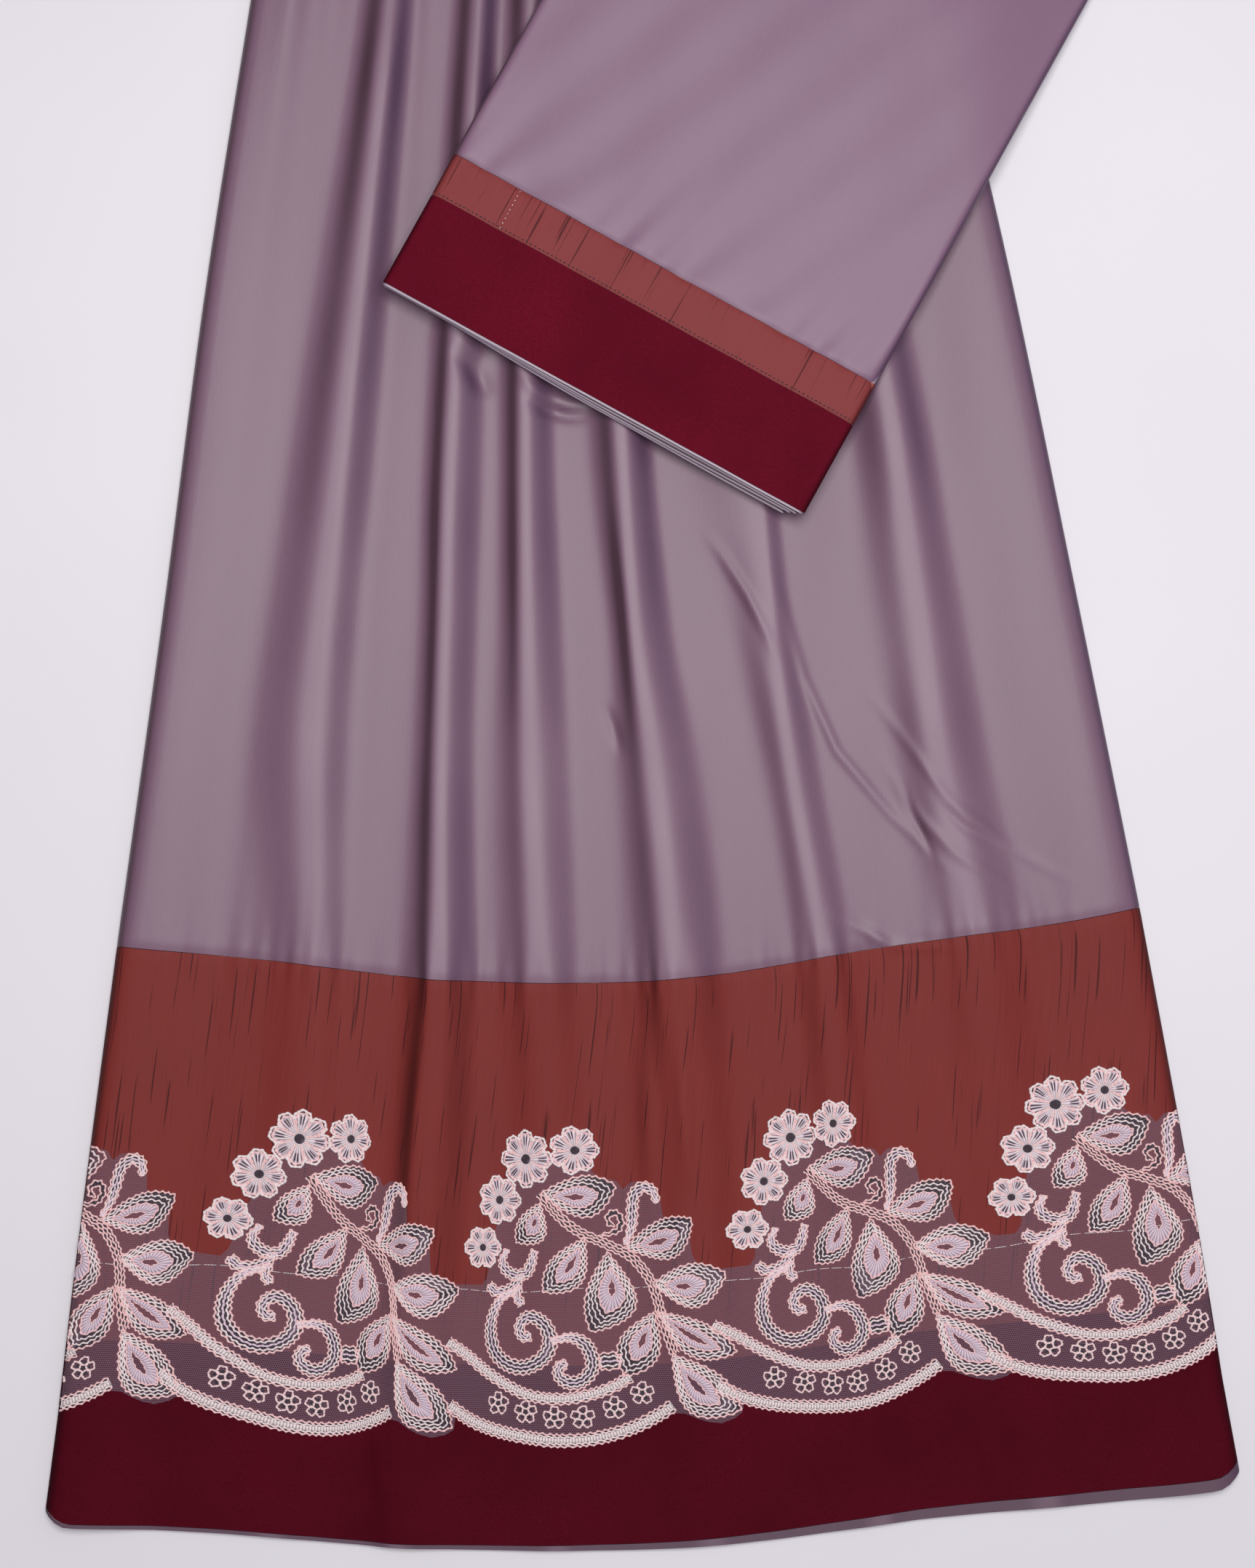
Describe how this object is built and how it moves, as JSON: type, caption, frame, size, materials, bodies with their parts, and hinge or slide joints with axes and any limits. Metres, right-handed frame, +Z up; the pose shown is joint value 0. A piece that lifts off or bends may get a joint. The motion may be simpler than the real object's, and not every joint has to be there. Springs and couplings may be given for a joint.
{
  "type": "rida set laid flat",
  "caption": "Long gathered skirt laid flat, with two hem bands and a scalloped floral net lace, and a matching cape folded into a strip and laid slantwise on it.",
  "frame": {"origin": "under the middle of the bounding box, on the surface that the garment lies on", "axes": "+Y from the skirt's hem to its waist, +X across the skirt towards the side that the folded pardi leaves by, +Z up from the surface"},
  "size_m": [0.675, 1.0658, 0.0227],
  "materials": {
    "mauve_satin": "satin",
    "rust_dupion": "slubbed",
    "maroon_cloth": "matt",
    "net_and_cord": "embroidered net"
  },
  "bodies": {
    "root": {"skirt_front": "mauve_satin", "skirt_back": "mauve_satin", "waistband_front": "mauve_satin", "waistband_back": "mauve_satin", "rust_band_front": "rust_dupion", "rust_band_back": "rust_dupion", "maroon_band_front": "maroon_cloth", "maroon_band_back": "maroon_cloth", "hem_piping_front": "mauve_satin", "hem_piping_back": "mauve_satin", "lace_front": "net_and_cord", "pardi_folded_layers": "mauve_satin", "pardi_panel": "mauve_satin", "pardi_rust_band": "rust_dupion", "pardi_maroon_band": "maroon_cloth", "pardi_piping": "mauve_satin"}
  },
  "joints": []
}
